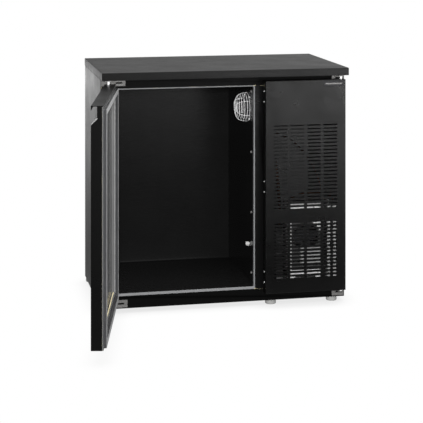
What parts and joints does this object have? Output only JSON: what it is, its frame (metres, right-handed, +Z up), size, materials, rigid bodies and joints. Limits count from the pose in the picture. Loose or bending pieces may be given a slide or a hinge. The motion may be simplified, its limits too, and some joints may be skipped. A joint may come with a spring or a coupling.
{
  "type": "under counter fridge",
  "caption": "Low black keg cooler with a worktop, an insulated door hinged on the left, and a machine bay behind a louvred hatch.",
  "frame": {"origin": "centre of the underside of the front left foot, on the floor", "axes": "+Z up, +Y from the front to the back, +X from the door's hinge side to the machine bay"},
  "size_m": [1.067, 1.1538, 0.916],
  "materials": {
    "worktop": "black-grey powder coat, satin",
    "casing": "black powder coat, satin",
    "door_skin": "black powder coat, satin",
    "hatch_skin": "black powder coat, satin",
    "galvanised": "galvanised, lightly spangled",
    "coil": "mill finish fins",
    "foam": "rigid foam, matte",
    "liner": "bright smooth sheet, dark reflections",
    "cabin": "dark smooth sheet",
    "trim": "light grey moulded strip",
    "zinc": "zinc plated",
    "plate": "blank satin plate",
    "wire": "bright plated wire",
    "black_plastic": "black moulded",
    "light_plastic": "light grey moulded",
    "foot_plastic": "pale grey moulded",
    "compressor": "black enamel",
    "copper": "bare copper",
    "gasket": "grey flexible seal"
  },
  "bodies": {
    "cabinet": {"worktop": "worktop", "side_panel_left": "casing", "side_panel_right": "casing", "front_top_rail": "casing", "front_base_rail": "casing", "front_mullion": "casing", "back_panel": "casing", "base_pan": "galvanised", "partition_panel": "galvanised", "insulation_left": "foam", "insulation_partition": "foam", "insulation_top": "foam", "insulation_floor": "foam", "insulation_back": "foam", "inner_liner": "cabin", "opening_trim": "trim", "evaporator_cover": "cabin", "cover_screw_1": "zinc", "cover_screw_2": "zinc", "cover_screw_3": "zinc", "cover_screw_4": "zinc", "evaporator_coil": "coil", "drain_pan": "galvanised", "thermostat_body": "light_plastic", "fan_guard": "wire", "cabin_fan_frame": "black_plastic", "hinge_bracket_top_left": "zinc", "hinge_bracket_bottom_left": "zinc", "hinge_bracket_top_right": "zinc", "hinge_bracket_bottom_right": "zinc", "condensing_unit_base": "galvanised", "condenser_shroud": "galvanised", "bay_fan_motor": "black_plastic", "condenser_coil": "coil", "compressor": "compressor", "compressor_terminal_cover": "black_plastic", "wiring_box": "galvanised", "liquid_line": "copper", "suction_pipe": "copper", "discharge_pipe": "copper", "power_inlet": "black_plastic"},
    "door": {"door_grip": "door_skin", "door_skin": "door_skin", "door_foam": "foam", "door_liner": "liner", "door_gasket": "gasket", "door_bush_top": "black_plastic", "door_bush_bottom": "black_plastic"},
    "hatch": {"louvre_panel": "hatch_skin", "hatch_frame": "hatch_skin", "hatch_plate": "plate"},
    "cabin_fan": {"cabin_fan_rotor": "black_plastic"},
    "bay_fan": {"bay_fan_rotor": "black_plastic"},
    "thermostat": {"thermostat_knob": "light_plastic"},
    "levelling_front_left": {"foot_front_left": "foot_plastic"},
    "levelling_rear_left": {"foot_rear_left": "foot_plastic"},
    "levelling_front_middle": {"foot_front_middle": "foot_plastic"},
    "levelling_rear_middle": {"foot_rear_middle": "foot_plastic"},
    "levelling_front_right": {"foot_front_right": "foot_plastic"},
    "levelling_rear_right": {"foot_rear_right": "foot_plastic"}
  },
  "joints": [
    {"name": "door_hinge", "type": "hinge", "parent": "cabinet", "child": "door", "pos_m": [0.00325, -0.0655, 0.4635], "axis": [0, 0, -1], "range_deg": [-101.46, 13]},
    {"name": "hatch_hinge", "type": "hinge", "parent": "cabinet", "child": "hatch", "pos_m": [0.90875, -0.0655, 0.4635], "axis": [0, 0, 1], "range_deg": [0, 95]},
    {"name": "cabin_fan_spin", "type": "hinge", "parent": "cabinet", "child": "cabin_fan", "pos_m": [0.5816, 0.092, 0.752], "axis": [1, 0, 0], "continuous": true},
    {"name": "bay_fan_spin", "type": "hinge", "parent": "cabinet", "child": "bay_fan", "pos_m": [0.784, 0.01, 0.253], "axis": [0, 1, 0], "continuous": true},
    {"name": "thermostat_turn", "type": "hinge", "parent": "cabinet", "child": "thermostat", "pos_m": [0.566, 0.059, 0.221], "axis": [-1, 0, 0], "range_deg": [0, 270]},
    {"name": "level_front_left", "type": "slide", "parent": "cabinet", "child": "levelling_front_left", "axis": [0, 0, -1], "range_m": [0, 0.01]},
    {"name": "level_rear_left", "type": "slide", "parent": "cabinet", "child": "levelling_rear_left", "axis": [0, 0, -1], "range_m": [0, 0.01]},
    {"name": "level_front_middle", "type": "slide", "parent": "cabinet", "child": "levelling_front_middle", "axis": [0, 0, -1], "range_m": [0, 0.01]},
    {"name": "level_rear_middle", "type": "slide", "parent": "cabinet", "child": "levelling_rear_middle", "axis": [0, 0, -1], "range_m": [0, 0.01]},
    {"name": "level_front_right", "type": "slide", "parent": "cabinet", "child": "levelling_front_right", "axis": [0, 0, -1], "range_m": [0, 0.01]},
    {"name": "level_rear_right", "type": "slide", "parent": "cabinet", "child": "levelling_rear_right", "axis": [0, 0, -1], "range_m": [0, 0.01]}
  ]
}
